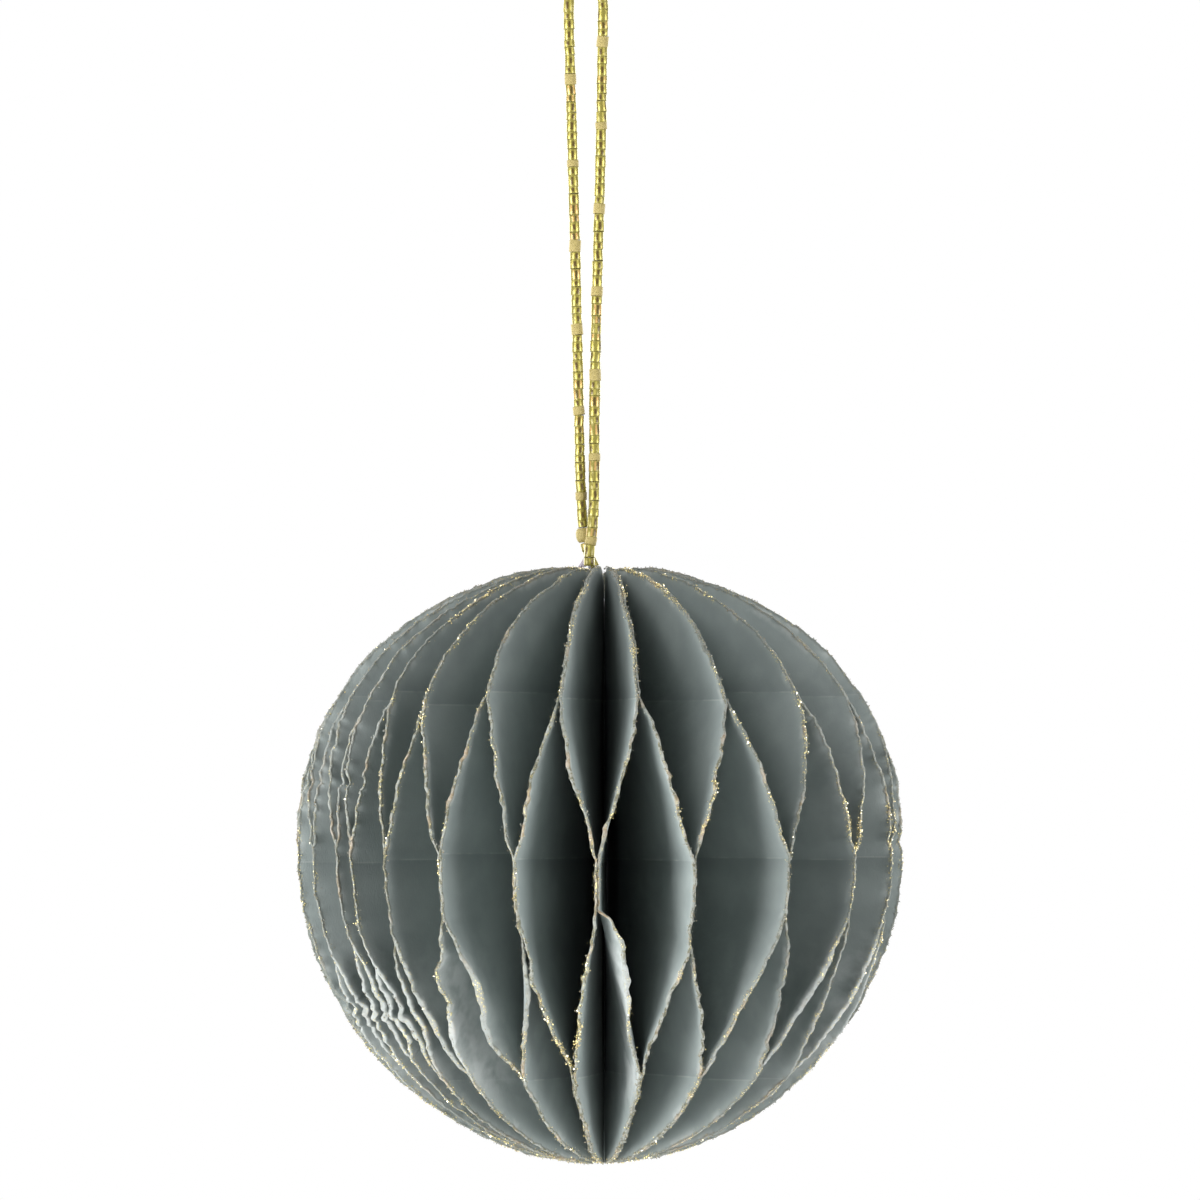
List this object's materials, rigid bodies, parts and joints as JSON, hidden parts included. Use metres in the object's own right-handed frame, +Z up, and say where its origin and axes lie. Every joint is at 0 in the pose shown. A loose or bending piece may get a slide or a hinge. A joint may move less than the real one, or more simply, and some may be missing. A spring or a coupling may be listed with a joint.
{
  "type": "paper ball hanging decoration",
  "caption": "Honeycomb ball of half-disc paper leaves glued in level bands and opened right round, on a hanging loop strung with small glass beads.",
  "frame": {"origin": "centre of the ball, on its upright axis, half way between its two ends", "axes": "+Z up towards the hanging loop; the front of the ball, with its widest cells, faces -Y; +X to the right as seen from the front"},
  "size_m": [0.0802, 0.0804, 0.1567],
  "materials": {
    "leaf_paper": "matt handmade paper with torn, pale edges that carry gold glitter",
    "thread": "plain twisted thread",
    "gold_lined_glass": "clear glass over a gold lining",
    "frosted_glass": "frosted, sand-coloured",
    "knot": "thread knot set in whitish glue"
  },
  "bodies": {
    "root": {"leaf_01": "leaf_paper", "leaf_02": "leaf_paper", "leaf_03": "leaf_paper", "leaf_04": "leaf_paper", "leaf_05": "leaf_paper", "leaf_06": "leaf_paper", "leaf_07": "leaf_paper", "leaf_08": "leaf_paper", "leaf_09": "leaf_paper", "leaf_10": "leaf_paper", "leaf_11": "leaf_paper", "leaf_12": "leaf_paper", "leaf_13": "leaf_paper", "leaf_14": "leaf_paper", "leaf_15": "leaf_paper", "leaf_16": "leaf_paper", "leaf_17": "leaf_paper", "leaf_18": "leaf_paper", "leaf_19": "leaf_paper", "leaf_20": "leaf_paper", "leaf_21": "leaf_paper", "leaf_22": "leaf_paper", "leaf_23": "leaf_paper", "leaf_24": "leaf_paper", "leaf_25": "leaf_paper", "leaf_26": "leaf_paper", "leaf_27": "leaf_paper", "leaf_28": "leaf_paper", "leaf_29": "leaf_paper", "leaf_30": "leaf_paper", "leaf_31": "leaf_paper", "leaf_32": "leaf_paper", "leaf_33": "leaf_paper", "leaf_34": "leaf_paper", "leaf_35": "leaf_paper", "leaf_36": "leaf_paper", "leaf_37": "leaf_paper", "leaf_38": "leaf_paper", "leaf_39": "leaf_paper", "leaf_40": "leaf_paper", "leaf_41": "leaf_paper", "leaf_42": "leaf_paper", "leaf_43": "leaf_paper", "leaf_44": "leaf_paper", "loop_thread": "thread", "gold_beads": "gold_lined_glass", "frosted_beads": "frosted_glass", "large_bead": "frosted_glass", "loop_knot": "knot"}
  },
  "joints": []
}
